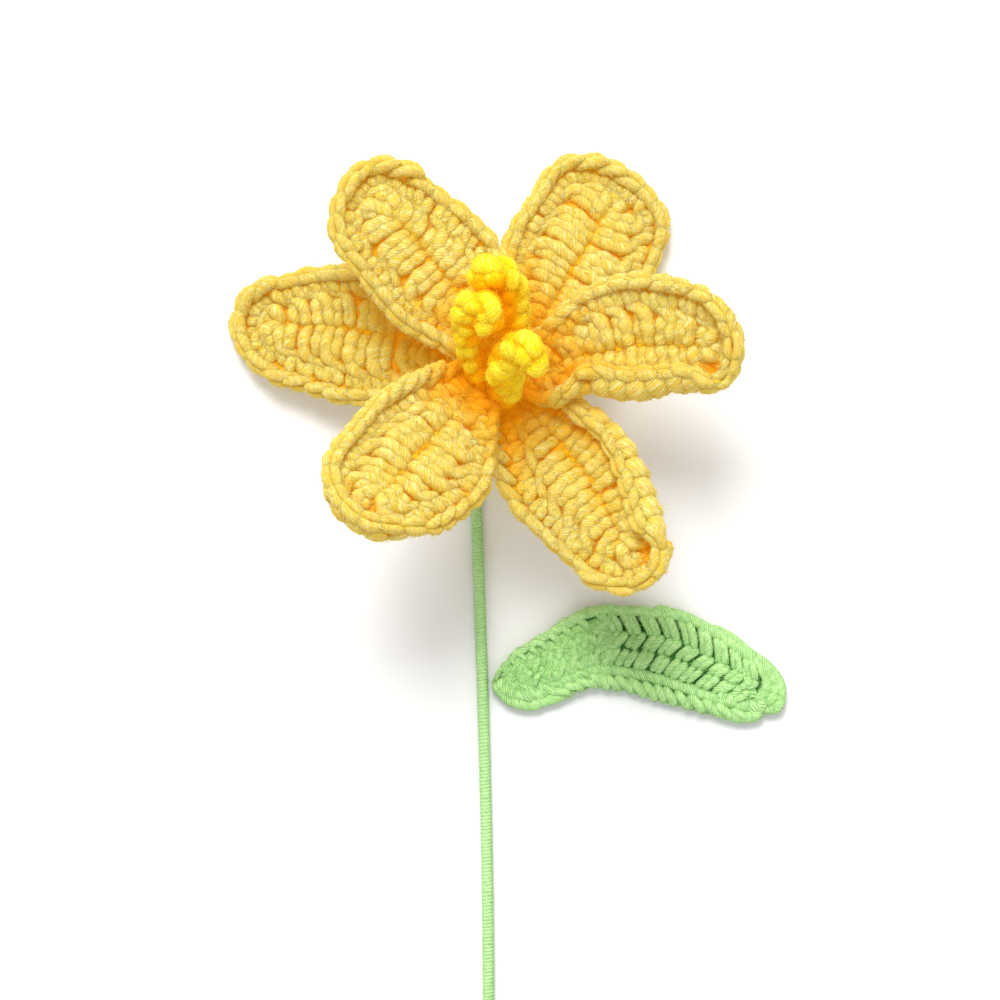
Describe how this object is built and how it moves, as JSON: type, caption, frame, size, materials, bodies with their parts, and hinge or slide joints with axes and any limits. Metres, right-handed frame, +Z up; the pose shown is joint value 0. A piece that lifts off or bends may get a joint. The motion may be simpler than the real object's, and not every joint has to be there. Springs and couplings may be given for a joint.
{
  "type": "crocheted yarn tulip flower, single, on a wound wire stem",
  "caption": "Crocheted yarn flower lying face up: cupped petals with raised borders, crooked stamen cords, a thin wound stem and one curved side leaf.",
  "frame": {"origin": "middle of the bounding box's bottom face, on the surface that the flower lies on", "axes": "+Y from the cut end of the stem towards the flower, +X towards the leaf, +Z up out of the open face of the flower"},
  "size_m": [0.1244, 0.2622, 0.0623],
  "materials": {
    "petal_yarn": "matte spun yarn",
    "stamen_yarn": "matte fuzzy spun yarn",
    "green_yarn": "matte spun yarn",
    "wire_steel": "dull drawn wire"
  },
  "bodies": {
    "root": {"petal_inner_upper": "petal_yarn", "petal_inner_lower": "petal_yarn", "petal_inner_right": "petal_yarn", "petal_outer_left": "petal_yarn", "petal_outer_lower": "petal_yarn", "petal_outer_upper": "petal_yarn", "petal_binding": "petal_yarn", "stamen_upper": "stamen_yarn", "stamen_left": "stamen_yarn", "stamen_right": "stamen_yarn", "leaf": "green_yarn", "stem_wrap": "green_yarn", "stem_wire": "wire_steel"}
  },
  "joints": []
}
